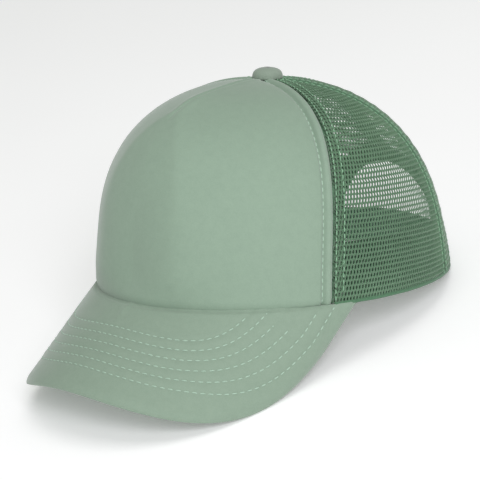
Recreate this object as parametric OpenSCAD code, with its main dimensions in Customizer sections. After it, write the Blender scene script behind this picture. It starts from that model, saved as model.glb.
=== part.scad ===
// Five-panel trucker cap with a foam front, mesh sides and back, a curved
// quilted brim and a snap closure. Millimetres.
// The cap is drawn in its own frame first: origin at the centre of the rim,
// rim in the XY plane, brim towards -Y, wearer's left at +X, crown up +Z.
// place() then tips it back so that it stands on a flat surface at z = 0.

/* [Crown] */
// Half length of the rim, front to back
half_l = 100; // [94:1:106]
// Half width of the rim, side to side
half_w = 80.6; // [77:0.2:86]
// Height of the crown above the rim
crown_h = 102; // [95:1:112]
// Shift of the crown's top towards the front
top_shift = -4.2; // [-7:0.2:3]
// Seam between the foam front and the side mesh, degrees round from the front
front_seam = 69.6; // [64:0.2:74]
// Seam between the side mesh and the back mesh, degrees round from the front
rear_seam = 124.6; // [119:0.2:130]

/* [Layers] */
// Thickness of the front's face fabric
cover_t = 0.8; // [0.6:0.1:1]
// Thickness of the front's foam
foam_t = 2.1; // [1.5:0.1:2.2]
// Thickness of the mesh
mesh_t = 0.9; // [0.7:0.1:1]
// Width of the tapes over the inside seams
tape_w = 12; // [10:1:14]
// Height of the sweatband
band_h = 30; // [26:1:34]

/* [Brim] */
// Length of the brim in front of the crown, along its middle
brim_l = 56.5; // [52:0.5:62]
// Half width of the flat brim pattern
brim_half = 99.2; // [96:0.2:101]
// Radius that the brim is curved to, side to side
brim_r = 80; // [78:1:84]
// Slope of the brim below the rim plane, degrees
brim_pitch = 37.2; // [33:0.2:40]

/* [Back closure] */
// Half width of the arched opening at the rim
arch_c = 39; // [38:0.5:41]
// Height of the arched opening
arch_h = 50; // [46:1:54]
// Height of the two straps
strap_w = 18; // [17:1:19]
// Distance between two pegs, and between two holes
pitch = 8; // [7.8:0.1:8.2]
// Number of pegs, and of holes
peg_n = 7; // [6:1:7]

/* [Button] */
// Diameter of the button
button_d = 15.5; // [14:0.5:17]
// Height of the button
button_h = 6.3; // [5.5:0.1:7]

/* [Hidden] */

tilt = 14.9;          // how far the cap tips back when it stands
lift = 22.4;          // brings its lowest points to z = 0
shift_y = 26.5;        // brings the middle of its length to y = 0

// crown profile exponents at the front, sides and back
qf = 0.41; qs = 0.63; qb = 0.72;
pf = 0.99; ps = 0.90; pb = 0.85;
lean_f = 0.112; lean_s = 0.04; lean_b = 0.203;
fade = 52;
seam_f_top = 12.4;    // the front seam drifts back by this many degrees at the top
seam_r_top = -10;     // the rear seam drifts forward
w_top = 88;           // the panels stop just short of the very top, under the button
brim_f0 = 68.3; brim_e = 2.46;
root_phi = 78;        // the brim's corners are sewn in here
root_z = 1;
foam_in = -(cover_t + 0.1 + foam_t);

// ---------- crown surface ----------
function wrap(p) = p > 180 ? p - 360 : p < -180 ? p + 360 : p;
function fr(p) = exp(-abs(wrap(p)) / fade);
function bk(p) = pow(max(0, -cos(p)), 2);
function qq(p) = qs + (qb - qs) * bk(p) + (qf - qs) * fr(p);
function pp(p) = ps + (pb - ps) * bk(p) + (pf - ps) * fr(p);
function lean(p) = lean_s * pow(sin(p), 2) + (cos(p) > 0 ? lean_f : lean_b) * pow(cos(p), 2);
function crown(p, w) =
  let (z = pow(sin(w), qq(p)), r = pow(cos(w), pp(p)) * (1 - lean(p) * z))
  [half_w * sin(p) * r, -half_l * cos(p) * r + top_shift * z * z, crown_h * z];
// polar angle w at which the crown reaches the height z
function w_at(p, z) = asin(pow(z / crown_h, 1 / qq(p)));
// degrees round the crown that make mm millimetres along it
function deg_mm(p, w, mm) = mm / norm(crown(p + 0.5, w) - crown(p - 0.5, w));
function seam_f(w) = front_seam + seam_f_top * w / 90;
function seam_r(w) = rear_seam + seam_r_top * w / 90;

// point of the arch at angle t, a millimetres outside its edge: [angle, w]
function arch_try(x, z, p) =
  let (w = w_at(p, z), r = pow(cos(w), pp(p)) * (1 - lean(p) * z / crown_h))
  180 - asin(x / (half_w * r));
function arch_pw(t, a) =
  let (x = (arch_c + a) * cos(t), z = max(0.001, (arch_h + a) * sin(t)),
       p1 = arch_try(x, z, 165), p2 = arch_try(x, z, p1), p3 = arch_try(x, z, p2))
  [p3, w_at(p3, z)];

// ---------- thin layers between two grids of points ----------
function cols(g) = len(g[0]);
function gn(g, i, j) =
  let (a = g[i][min(j + 1, cols(g) - 1)] - g[i][max(j - 1, 0)],
       b = g[min(i + 1, len(g) - 1)][j] - g[max(i - 1, 0)][j], n = cross(a, b))
  n / norm(n);
function goff(g, d) = [for (i = [0:len(g) - 1]) [for (j = [0:cols(g) - 1]) g[i][j] + d * gn(g, i, j)]];
function flat(g) = [for (row = g) for (p = row) p];
module slab(top, low) {
  R = len(top); C = cols(top); N = R * C;
  polyhedron(concat(flat(top), flat(low)), concat(
    [for (i = [0:R - 2]) for (j = [0:C - 2]) let (a = i * C + j)
      each [[a, a + C, a + 1], [a + 1, a + C, a + C + 1],
            [a + N, a + 1 + N, a + C + N], [a + 1 + N, a + C + 1 + N, a + C + N]]],
    [for (j = [0:C - 2]) let (a = j, c = (R - 1) * C + j)
      each [[a, a + 1, a + 1 + N], [a, a + 1 + N, a + N],
            [c + 1, c, c + N], [c + 1, c + N, c + 1 + N]]],
    [for (i = [0:R - 2]) let (a = i * C, b = i * C + C - 1)
      each [[a + C, a, a + N], [a + C, a + N, a + C + N],
            [b, b + C, b + C + N], [b, b + C + N, b + N]]]), convexity = 6);
}
module layer(g, d0, d1) slab(goff(g, d0), goff(g, d1));
module place() translate([0, shift_y, lift]) rotate([-tilt, 0, 0]) children();
module mirrored(side) if (side > 0) children(); else mirror([1, 0, 0]) children();

// ---------- crown panels ----------
// columns are [angle at the foot, w at the foot, angle at the top]
function panel(colm, n, e) = [for (i = [0:n]) [for (c = colm)
  let (w = c[1] + (w_top - c[1]) * pow(i / n, e))
  crown(c[0] + (c[2] - c[0]) * (w - c[1]) / (w_top - c[1]), w)]];
front_cols = [for (u = [-13:13]) [u / 13 * (front_seam - 0.1), 0.01, u / 13 * (seam_f(w_top) - 0.3)]];
function lerp(a, b, k) = a + (b - a) * k;
side_cols = [for (u = [0:12]) [lerp(front_seam + 0.1, rear_seam - 0.1, u / 12), 0.01,
  lerp(seam_f(w_top) + 0.3, seam_r(w_top) - 0.3, u / 12)]];
arch_0 = arch_pw(0, 0)[0];
back_feet = concat([for (u = [0:6]) [lerp(rear_seam + 0.1, arch_0 - 0.4, u / 6), 0.01]],
  [for (t = [0:9:81]) let (q = arch_pw(t, 0)) [q[0], max(0.01, q[1])]],
  [[179.9, arch_pw(90, 0)[1]]]);
back_cols = [for (f = back_feet) [f[0], f[1],
  lerp(seam_r(w_top) + 0.3, 179.6, (f[0] - rear_seam) / (180 - rear_seam))]];

module front_cover() color([0.58, 0.66, 0.58]) place() layer(panel(front_cols, 16, 1.7), 0, -cover_t);
module front_foam() color([0.93, 0.93, 0.9]) place() layer(panel(front_cols, 16, 1.7), -cover_t - 0.1, foam_in);
module side_mesh(side) color([0.28, 0.48, 0.37]) place() mirrored(side) layer(panel(side_cols, 16, 1.7), 0, -mesh_t);
module back_mesh(side) color([0.28, 0.48, 0.37]) place() mirrored(side) layer(panel(back_cols, 16, 1.5), 0, -mesh_t);

// ---------- tapes ----------
// a tape along the line p0 + p1 * w / 90, from m0 to m1 millimetres beside it,
// its outer face d0 under the crown's face at m0 and d1 at m1
function tape_grid(p0, p1, m0, m1, w0, w1, d0, d1, e) = let (
    g = [for (i = [0:16]) [for (m = [m0, (m0 + m1) / 2, m1])
      let (w = w0 + (w1 - w0) * pow(i / 16, e), p = p0 + p1 * w / 90) crown(p + deg_mm(p, w, m), w)]])
  [for (i = [0:16]) [for (j = [0:2]) g[i][j] + (j < 2 ? d0 : d1) * gn(g, i, j)]];
module tape(p0, p1, m0, m1, w0, w1, d0, d1, e = 1.7)
  color([0.85, 0.87, 0.82]) place() layer(tape_grid(p0, p1, m0, m1, w0, w1, d0, d1, e), 0, -0.5);
module front_dart_tape() tape(0, 0, -tape_w / 2, tape_w / 2, w_at(0, 1.2), 82, foam_in - 0.2, foam_in - 0.2);
module front_seam_tape(side) mirrored(side)
  tape(front_seam, seam_f_top, -tape_w / 2, tape_w / 2, w_at(front_seam, 1), 81, foam_in - 0.2, -mesh_t - 0.4);
module rear_seam_tape(side) mirrored(side)
  tape(rear_seam, seam_r_top, -tape_w / 2, tape_w / 2, w_at(rear_seam, 1), 81, -mesh_t - 0.2, -mesh_t - 0.2);
module back_centre_tape() tape(180, 0, -tape_w / 2, tape_w / 2, w_at(180, arch_h + 10), 82, -mesh_t - 0.2, -mesh_t - 0.2, 1);

// ---------- sweatband ----------
module sweatband() color([0.35, 0.5, 0.4]) place()
  layer([for (z = [0.6, band_h / 3, band_h * 2 / 3, band_h]) [for (p = [-148.5:4.5:148.5]) crown(p, w_at(p, z))]],
    foam_in - 1, foam_in - 2.1);

// ---------- binding round the arched opening ----------
// a folded tape: along the outside of the mesh, round its edge and back inside
bind_w = 8;
function bind_side(a) = [for (t = [0:6:180]) let (q = arch_pw(t <= 90 ? t : 180 - t, a),
    w = max(q[1], 0.01)) crown(t <= 90 ? q[0] : 360 - q[0], w)];
bind_g = [for (a = [-0.9, bind_w / 2, bind_w]) [for (k = [0:30]) let (s = bind_side(a)) s[k]]];
module back_opening_binding() color([0.3, 0.47, 0.37]) place() {
  // rows run outwards from the opening, columns run left to right round the arch
  outer = goff(bind_g, 0.1); outer2 = goff(bind_g, 0.7);
  inner = goff(bind_g, -mesh_t - 0.1); inner2 = goff(bind_g, -mesh_t - 0.7);
  slab(outer2, outer);
  slab(inner, inner2);
  edge = [for (a = [-0.9, -0.3]) bind_side(a)];
  slab(goff(edge, 0.3), goff(edge, -mesh_t - 0.3));
}

// ---------- button ----------
module dome(r, h) rotate_extrude($fn = 48)
  intersection() { scale([1, h / r]) circle(r, $fn = 48); square([r + 1, h + 1]); }
module at_top() place() translate([0, top_shift, crown_h]) children();
br = button_d / 2;
module button_cover() color([0.55, 0.62, 0.55]) at_top() translate([0, 0, 0.2])
  difference() { dome(br, button_h); translate([0, 0, -0.01]) dome(br - 0.8, button_h - 0.8); }
module button_shell() color([0.75, 0.75, 0.76]) at_top() translate([0, 0, 0.2])
  difference() { dome(br - 0.9, button_h - 0.9); translate([0, 0, -0.01]) dome(br - 1.5, button_h - 1.5); }
module button_prong() color([0.75, 0.75, 0.76]) at_top() {
  translate([0, 0, -5.4]) cylinder(r = 1.2, h = 5.4 + button_h - 1.6, $fn = 32);
  translate([0, 0, -5.6]) cylinder(r = 2.6, h = 0.6, $fn = 32);
}
module button_washer() color([0.8, 0.8, 0.8]) at_top()
  difference() {
    translate([0, 0, -4.7]) cylinder(r = 9, h = 1, $fn = 48);
    translate([0, 0, -5.7]) cylinder(r = 1.6, h = 3, $fn = 32);
  }

// ---------- brim ----------
// flat pattern: s across, f forwards; then curved to brim_r and pitched down
function sgp(x, e) = sign(x) * pow(abs(x), e);
function flat_out(t) = [brim_half * sgp(sin(t), 2 / brim_e),
  brim_f0 + (half_l + brim_l - brim_f0) * pow(max(0, cos(t)), 2 / brim_e)];
function bent(s, f) = let (b = s / brim_r * 180 / PI, drop = brim_r * (1 - cos(b)), g = f - half_l)
  [brim_r * sin(b), -half_l - g * cos(brim_pitch) + drop * sin(brim_pitch),
   root_z - g * sin(brim_pitch) - drop * cos(brim_pitch)];
function root(p) = [(half_w + 0.3) * sin(p), -(half_l + 0.3) * cos(p), root_z];
// columns: c from -1 to 1 across the curved front, then the straight run to the corners
function phi_of(x) = asin(max(-1, min(1, x / (half_w + 0.3))));
corner = bent(brim_half, brim_f0);
function brim_col(c) = abs(c) <= 1
  ? let (q = flat_out(90 * c), o = bent(q[0], q[1])) [root(phi_of(o[0])), o]
  : let (k = abs(c) - 1, sg = sign(c), m = [sg, 1, 1], e = root(root_phi),
         o = lerp(corner, e, k * 0.86))
    [let (r = root(lerp(phi_of(corner[0]), root_phi, k))) [r[0] * sg, r[1], r[2]],
     [o[0] * sg, o[1], o[2]]];
brim_c = concat([for (k = [4:-1:1]) -1 - k / 4], [for (k = [-13:13]) sgp(k / 13, 1)], [for (k = [1:4]) 1 + k / 4]);
// rows run from the outer edge in to the crown; inset keeps a layer short of the edge
function brim_grid(inset) = [for (i = [0:8]) [for (c = brim_c)
  let (q = brim_col(c), n = max(0.3, norm(q[0] - q[1])), k0 = min(0.45, inset / n), k = lerp(k0, 1, i / 8))
  lerp(q[1], q[0], k)]];
module brim_top_cover() color([0.55, 0.63, 0.55]) place() layer(brim_grid(0), 0, -0.8);
module brim_foam() color([0.93, 0.93, 0.9]) place() layer(brim_grid(3.5), -0.9, -1.7);
module brim_board() color([0.9, 0.9, 0.88]) place() layer(brim_grid(3.5), -1.8, -3.4);
module brim_under_cover() color([0.5, 0.58, 0.5]) place() layer(brim_grid(0), -3.5, -4.1);

// ---------- straps ----------
// The straps lean inwards with the back of the crown. Their own frame starts midway
// between the two lines where they bend, at their lower edge.
strap_r = 95; strap_t = 1.2; gap = 0.3;
strap_z = 2.3;
strap_top = strap_z + strap_w;
pivot_x = (arch_c - 0.95) * cos(asin(strap_top / (arch_h - 0.95))) - 1.4;
function at_back(x, z) = let (p = arch_try(x, z, 155), p1 = arch_try(x, z, p)) arch_try(x, z, p1);
function back_y(z) = let (p = at_back(pivot_x + 1.2, z)) crown(p, w_at(p, z))[1] - 2.05;
pivot_y = back_y(strap_z);
strap_lean = atan((back_y(strap_z) - back_y(strap_top)) / strap_w);
strap_cy = -sqrt(strap_r * strap_r - pivot_x * pivot_x);
peg_r = strap_r - strap_t - gap;
module strap_frame() place() translate([0, pivot_y, strap_z]) rotate([strap_lean, 0, 0]) children();
function arc_a(len, r) = len / r * 180 / PI;
span = (peg_n - 1) * pitch;
tip_x = span / 2 - pitch / 2 + 5;
// one strap: an arc from its root at x = pivot_x * side to a round tip past the middle
module strap_arc(r, side) {
  a0 = asin(pivot_x / r); a1 = arc_a(tip_x, r); at = a1 - arc_a(strap_w / 2, r);
  translate([0, strap_cy, 0]) intersection() {
    rotate([0, 0, 90 - (side > 0 ? a0 : a1)]) rotate_extrude(angle = a0 + a1, $fn = 180)
      translate([r - strap_t / 2, 0]) square([strap_t, strap_w]);
    rotate([0, 0, at * side]) union() {
      translate([side > 0 ? 0 : -strap_r, r - 40, 0]) cube([strap_r, 60, strap_w]);
      translate([0, r - 6, strap_w / 2]) rotate([-90, 0, 0]) cylinder(r = strap_w / 2 + 0.1, h = 12, $fn = 48);
    }
  }
  translate([side * pivot_x, strap_cy + sqrt(r * r - pivot_x * pivot_x), 0])
    rotate([0, 0, side > 0 ? 0 : 180]) cylinder(r = strap_t / 2, h = strap_w, $fn = 24);
}
function stop_at(k) = -(span / 2 - pitch / 2) + k * pitch;
module radial(x) translate([0, strap_cy, strap_w / 2])
  rotate([0, 0, -x / strap_r * 180 / PI]) rotate([-90, 0, 0]) children();
module hole_strap() color([0.2, 0.36, 0.28]) strap_frame() difference() {
  strap_arc(strap_r, 1);
  for (k = [0:peg_n - 1]) radial(stop_at(k))
    translate([0, 0, strap_r - 3]) cylinder(r = 2.75, h = 6, $fn = 40);
}
module peg_strap() color([0.2, 0.36, 0.28]) strap_frame() {
  strap_arc(peg_r, -1);
  for (k = [0:peg_n - 1]) radial(-stop_at(k)) {
    translate([0, 0, peg_r]) cylinder(r = 1.7, h = strap_t * 1.5 + gap + 0.4, $fn = 32);
    translate([0, 0, strap_r + strap_t / 2 + 0.1]) cylinder(r = 2.05, h = 0.8, $fn = 32);
  }
}
// the sewn-in end of a strap; step is how much further in it lies where it leaves the crown
function tab_grid(step) = let (
    g = [for (z = [strap_z, strap_z + strap_w / 2, strap_top]) let (
        pe = at_back(pivot_x + 1 + 0.51 * (mesh_t + 1.5 + step), z))
      [for (k = [0:7]) let (p = lerp(138, pe, k / 7)) crown(p, w_at(p, z))]])
  [for (i = [0:2]) [for (k = [0:7]) g[i][k] - step * [0, 0, 0, 0, 0, 0.1, 0.5, 1][k] * gn(g, i, k)]];
module strap_tab(side) color([0.2, 0.36, 0.28]) place() mirrored(side)
  layer(tab_grid(side > 0 ? 0 : strap_t + gap), -mesh_t - 1, -mesh_t - 2);

front_cover();
front_foam();
side_mesh(1);  // side_mesh_left
side_mesh(-1);  // side_mesh_right
back_mesh(1);  // back_mesh_left
back_mesh(-1);  // back_mesh_right
front_dart_tape();
front_seam_tape(1);  // front_seam_tape_left
front_seam_tape(-1);  // front_seam_tape_right
rear_seam_tape(1);  // rear_seam_tape_left
rear_seam_tape(-1);  // rear_seam_tape_right
back_centre_tape();
button_cover();
button_shell();
button_prong();
button_washer();
brim_top_cover();
brim_foam();
brim_board();
brim_under_cover();
sweatband();
back_opening_binding();
strap_tab(1);  // hole_strap_tab
strap_tab(-1);  // peg_strap_tab
hole_strap();
peg_strap();
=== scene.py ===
import math

import bpy
import numpy as np
from mathutils import Matrix, Vector


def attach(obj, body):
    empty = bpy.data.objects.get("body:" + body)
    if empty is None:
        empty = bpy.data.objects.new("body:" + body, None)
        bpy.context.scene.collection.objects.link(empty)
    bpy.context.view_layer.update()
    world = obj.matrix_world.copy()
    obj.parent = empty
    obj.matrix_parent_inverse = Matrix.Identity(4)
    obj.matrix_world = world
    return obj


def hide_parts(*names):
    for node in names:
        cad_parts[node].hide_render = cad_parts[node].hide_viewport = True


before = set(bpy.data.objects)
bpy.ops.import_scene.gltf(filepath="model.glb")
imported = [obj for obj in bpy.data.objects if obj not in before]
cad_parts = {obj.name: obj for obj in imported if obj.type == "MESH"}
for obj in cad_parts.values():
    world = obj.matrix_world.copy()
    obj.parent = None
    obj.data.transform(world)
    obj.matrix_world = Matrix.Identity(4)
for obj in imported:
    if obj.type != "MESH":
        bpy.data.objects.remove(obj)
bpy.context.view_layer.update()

rad, deg = np.radians, np.degrees

# ------------------------------------------------------------------ camera
# The cap's own frame: rim in the XY plane, brim towards -Y, wearer's left +X. It stands tipped back by TILT.
TILT, SHIFT_Y, LIFT = 14.9, 26.5, 22.4
CT, ST = math.cos(math.radians(TILT)), math.sin(math.radians(TILT))


def to_row(P):
    """Cap frame in millimetres to the row frame in metres."""
    P = np.asarray(P, float)
    x, y, z = P[..., 0], P[..., 1], P[..., 2]
    return np.stack([x, y * CT + z * ST + SHIFT_Y, -y * ST + z * CT + LIFT], -1) * 0.001


def dir_row(v):
    x, y, z = v
    return Vector((x, y * CT + z * ST, -y * ST + z * CT))


az, el, roll, px_mm = math.radians(45.446), math.radians(11.787), math.radians(0.684), 1.941
back = np.array([math.sin(az) * math.cos(el), -math.cos(az) * math.cos(el), math.sin(el)])
right = np.array([math.cos(az), math.sin(az), 0.0])
up = np.cross(back, right)
img_x = right * math.cos(roll) - up * math.sin(roll)
img_y = right * math.sin(roll) + up * math.cos(roll)
focal_px = px_mm * 1300
fwd = -back + img_x * (-(275.8 - 240) / focal_px) + img_y * ((273.8 - 240) / focal_px)
fwd /= np.linalg.norm(fwd)
cam_x = img_x - fwd * np.dot(img_x, fwd)
cam_x /= np.linalg.norm(cam_x)
cam_y = np.cross(-fwd, cam_x)
cam = bpy.data.objects.new("camera", bpy.data.cameras.new("camera"))
bpy.context.scene.collection.objects.link(cam)
bpy.context.scene.camera = cam
R = Matrix((dir_row(cam_x), dir_row(cam_y), dir_row(-fwd))).transposed()
cam.matrix_world = Matrix.Translation(Vector(to_row(back * 1300))) @ R.to_4x4()
cam.data.lens = focal_px / 480 * 36
cam.data.sensor_width = 36
cam.data.clip_start, cam.data.clip_end = 0.05, 30

# ------------------------------------------------------------------ the crown's surface, in millimetres
HL, HW, HC, YT = 100.0, 80.6, 102.0, -4.2
FS, RS, SFT, SRT = 69.6, 124.6, 12.4, -10.0
ARC_C, ARC_H = 39.0, 50.0
W_TOP = 88.0


def wrap(p):
    return (np.asarray(p, float) + 180) % 360 - 180


def fr(p):
    return np.exp(-np.abs(wrap(p)) / 52)


def bk(p):
    return np.clip(-np.cos(rad(p)), 0, 1) ** 2


def qq(p):
    return 0.63 + (0.72 - 0.63) * bk(p) + (0.41 - 0.63) * fr(p)


def pp(p):
    return 0.90 + (0.85 - 0.90) * bk(p) + (0.99 - 0.90) * fr(p)


def lean(p):
    c = np.cos(rad(p))
    return 0.04 * np.sin(rad(p)) ** 2 + np.where(c > 0, 0.112, 0.203) * c * c


def crown(p, w):
    p, w = np.broadcast_arrays(np.asarray(p, float), np.asarray(w, float))
    z = np.sin(rad(w)) ** qq(p)
    r = np.cos(rad(w)) ** pp(p) * (1 - lean(p) * z)
    return np.stack([HW * np.sin(rad(p)) * r, -HL * np.cos(rad(p)) * r + YT * z * z, HC * z], -1)


def crown_n(p, w):
    p, w = np.broadcast_arrays(np.asarray(p, float), np.asarray(w, float))
    a = crown(p + 0.4, w) - crown(p - 0.4, w)
    b = crown(p, np.minimum(w + 0.4, 89.8)) - crown(p, np.maximum(w - 0.4, 0.002))
    n = np.cross(a, b)
    return n / np.linalg.norm(n, axis=-1, keepdims=True)


def coff(p, w, d):
    return crown(p, w) + crown_n(p, w) * np.asarray(d, float)[..., None]


def w_at(p, z):
    return deg(np.arcsin(np.clip(np.asarray(z, float) / HC, 1e-6, 1) ** (1 / qq(p))))


def mm_deg(p, w):
    """Millimetres along the crown for one degree round it."""
    return np.linalg.norm(crown(np.asarray(p) + 0.5, w) - crown(np.asarray(p) - 0.5, w), axis=-1)


def seam_f(w):
    return FS + SFT * np.asarray(w) / 90


def seam_r(w):
    return RS + SRT * np.asarray(w) / 90


def arch_pw(t, a):
    """Angle and w of the point at angle t (degrees) round the arched opening, a millimetres outside its edge."""
    t, a = np.broadcast_arrays(np.asarray(t, float), np.asarray(a, float))
    x, z = (ARC_C + a) * np.cos(rad(t)), np.maximum(0.001, (ARC_H + a) * np.sin(rad(t)))
    p = np.full(t.shape, 165.0)
    for _ in range(4):
        w = w_at(p, z)
        r = np.cos(rad(w)) ** pp(p) * (1 - lean(p) * z / HC)
        p = 180 - deg(np.arcsin(np.clip(x / (HW * r), -1, 1)))
    return p, w_at(p, z)


def sm(x, a, b):
    """Smooth step from 0 at a to 1 at b."""
    t = np.clip((np.asarray(x, float) - a) / (b - a), 0, 1)
    return t * t * (3 - 2 * t)


def soft_noise(P, size, seed):
    """A smooth wobble of about -1 to 1 over the points, with features of that size in millimetres."""
    g = np.random.default_rng(seed)
    out = np.zeros(P.shape[:-1])
    for k in range(9):
        d = g.normal(size=3)
        d /= np.linalg.norm(d)
        out += np.sin(P @ d * (2 * math.pi / (size * (0.7 + 0.15 * k))) + g.uniform(0, 6.28))
    return out / 4.5


# ------------------------------------------------------------------ mesh helpers
def build(name, V, faces, uv=None, smooth=True, extra=None):
    """A mesh from vertices in the cap frame (mm) and lists of quads and triangles."""
    V = to_row(V).astype(np.float32).reshape(-1, 3)
    faces = [np.asarray(f, np.int32) for f in faces if len(f)]
    loops = np.concatenate([f.ravel() for f in faces])
    sizes = np.concatenate([np.full(len(f), f.shape[1], np.int32) for f in faces])
    starts = np.concatenate([[0], np.cumsum(sizes)[:-1]]).astype(np.int32)
    m = bpy.data.meshes.new(name)
    m.vertices.add(len(V))
    m.vertices.foreach_set("co", V.ravel())
    m.loops.add(len(loops))
    m.loops.foreach_set("vertex_index", loops)
    m.polygons.add(len(sizes))
    m.polygons.foreach_set("loop_start", starts)
    m.polygons.foreach_set("loop_total", sizes)
    m.polygons.foreach_set("use_smooth", np.full(len(sizes), smooth, bool))
    m.update(calc_edges=True)
    m.validate()
    if uv is not None:
        a = m.attributes.new("cut", "FLOAT_VECTOR", "POINT")
        u = np.zeros((len(V), 3), np.float32)
        u[:, : uv.shape[-1]] = np.asarray(uv, np.float32).reshape(len(V), -1)
        a.data.foreach_set("vector", u.ravel())
    for k, v in (extra or {}).items():
        a = m.attributes.new(k, "FLOAT", "POINT")
        a.data.foreach_set("value", np.asarray(v, np.float32).ravel())
    o = bpy.data.objects.new(name, m)
    bpy.context.scene.collection.objects.link(o)
    return o


def grid_faces(R, C, base=0, flip=False):
    i, j = np.meshgrid(np.arange(R - 1), np.arange(C - 1), indexing="ij")
    a = (i * C + j).ravel() + base
    f = np.stack([a, a + 1, a + C + 1, a + C], 1)
    return f[:, ::-1] if flip else f


def grid_normals(P):
    a = np.gradient(P, axis=1)
    b = np.gradient(P, axis=0)
    n = np.cross(a, b)
    return n / np.maximum(np.linalg.norm(n, axis=-1, keepdims=True), 1e-9)


def shell(top, low, close_cols=False):
    """Vertices and faces of the closed layer between two grids of points. top is the outer one: its rows go up and its columns to the right, seen from outside."""
    R_, C_ = top.shape[:2]
    N = R_ * C_
    V = np.concatenate([top.reshape(-1, 3), low.reshape(-1, 3)])
    F = [grid_faces(R_, C_), grid_faces(R_, C_, N, True)]
    j = np.arange(C_ - 1)
    a, c = j, (R_ - 1) * C_ + j
    F.append(np.stack([a + 1, a, a + N, a + 1 + N], 1))
    F.append(np.stack([c, c + 1, c + 1 + N, c + N], 1))
    i = np.arange(R_ - 1)
    a, b = i * C_, i * C_ + C_ - 1
    F.append(np.stack([a, a + C_, a + C_ + N, a + N], 1))
    F.append(np.stack([b + C_, b, b + N, b + C_ + N], 1))
    return V, F


def layer(name, top, thick, uv=None, low=None, extra=None):
    n = grid_normals(top)
    low = top - n * thick if low is None else low
    V, F = shell(top, low)
    if uv is not None:
        uv = np.concatenate([uv.reshape(-1, uv.shape[-1])] * 2)
    if extra:
        extra = {k: np.concatenate([v.ravel(), v.ravel()]) for k, v in extra.items()}
    return build(name, V, F, uv, extra=extra)


def resample(P, step, N=None):
    """A line's points every step millimetres, and the same for what goes with them."""
    s = np.concatenate([[0], np.cumsum(np.linalg.norm(np.diff(P, axis=0), axis=1))])
    n = max(2, int(round(s[-1] / step)) + 1)
    t = np.linspace(0, s[-1], n)
    out = np.stack([np.interp(t, s, P[:, k]) for k in range(3)], 1)
    if N is None:
        return out
    M = np.stack([np.interp(t, s, N[:, k]) for k in range(3)], 1)
    return out, M / np.linalg.norm(M, axis=1, keepdims=True)


stitch_parts = {}


def stitches(key, P, N, length=2.6, pitch=3.4, r=0.3, lift=0.12, phase=0.0, dip=0.3):
    """Adds a line of thread stitches along P, lying on the surface whose normals are N. Each is a small capsule that dips in at its ends."""
    P, N = np.asarray(P, float), np.asarray(N, float)
    s = np.concatenate([[0], np.cumsum(np.linalg.norm(np.diff(P, axis=0), axis=1))])
    if s[-1] < pitch:
        return
    start = np.arange(phase, s[-1] - 0.6, pitch)
    k = np.linspace(0, 1, 7)
    t = start[:, None] + k[None] * np.minimum(length, s[-1] - start)[:, None]
    c = np.stack([np.interp(t, s, P[:, i]) for i in range(3)], -1)
    n = np.stack([np.interp(t, s, N[:, i]) for i in range(3)], -1)
    n /= np.linalg.norm(n, axis=-1, keepdims=True)
    tan = np.gradient(c, axis=1)
    tan /= np.linalg.norm(tan, axis=-1, keepdims=True)
    b = np.cross(tan, n)
    rr = r * np.array([0.35, 0.8, 1, 1, 1, 0.8, 0.35])
    h = lift - dip * np.array([1, 0.3, 0.03, 0, 0.03, 0.3, 1])
    c = c + n * h[None, :, None]
    a = np.linspace(0, 2 * math.pi, 8, endpoint=False)
    ring = (
        c[:, :, None]
        + b[:, :, None] * (np.cos(a) * 1.0)[None, None, :, None] * rr[None, :, None, None]
        + n[:, :, None] * (np.sin(a) * 0.8)[None, None, :, None] * rr[None, :, None, None]
    )
    S = len(start)
    V = ring.reshape(-1, 3)
    F4, F8 = [], []
    base = (np.arange(S) * 56)[:, None, None]
    i, j = np.arange(6)[None, :, None], np.arange(8)[None, None, :]
    q = np.stack([base + i * 8 + j, base + i * 8 + (j + 1) % 8, base + (i + 1) * 8 + (j + 1) % 8, base + (i + 1) * 8 + j], -1)
    F4 = q.reshape(-1, 4)
    F8 = np.concatenate([base[:, :, 0] + np.arange(8)[None, ::-1], base[:, :, 0] + 48 + np.arange(8)[None]])
    stitch_parts.setdefault(key, []).append((V, F4, F8))


def finish_stitches(key, name, mat, body="cap"):
    V, F4, F8, n = [], [], [], 0
    for v, a, b in stitch_parts[key]:
        V.append(v), F4.append(a + n), F8.append(b + n)
        n += len(v)
    o = build(name, np.concatenate(V), [np.concatenate(F4), np.concatenate(F8)])
    o.data.materials.append(mat)
    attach(o, body)
    return o


def crown_line(p, w, d, step=0.8):
    """Points and normals along a line on the crown, d millimetres outside it."""
    P = coff(p, w, d)
    return resample(P, step, crown_n(p, w))


# ------------------------------------------------------------------ materials
def material(name):
    m = bpy.data.materials.new(name)
    m.use_nodes = True
    nt = m.node_tree
    b = nt.nodes["Principled BSDF"]
    return m, nt, b


def node(nt, kind, **kw):
    n = nt.nodes.new(kind)
    for k, v in kw.items():
        setattr(n, k, v)
    return n


def math_node(nt, op, a, b=None):
    n = node(nt, "ShaderNodeMath", operation=op)
    for i, v in enumerate((a, b)):
        if v is None:
            continue
        if isinstance(v, (int, float)):
            n.inputs[i].default_value = v
        else:
            nt.links.new(v, n.inputs[i])
    return n.outputs[0]


def cut_coords(nt):
    return node(nt, "ShaderNodeAttribute", attribute_name="cut", attribute_type="GEOMETRY").outputs["Vector"]


def obj_coords(nt):
    return node(nt, "ShaderNodeTexCoord").outputs["Object"]


def ramp(nt, fac, stops):
    n = node(nt, "ShaderNodeValToRGB")
    e = n.color_ramp.elements
    e[0].position, e[0].color = stops[0][0], (*stops[0][1], 1)
    e[1].position, e[1].color = stops[-1][0], (*stops[-1][1], 1)
    for pos, c in stops[1:-1]:
        k = e.new(pos)
        k.color = (*c, 1)
    nt.links.new(fac, n.inputs[0])
    return n.outputs[0]


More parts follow.
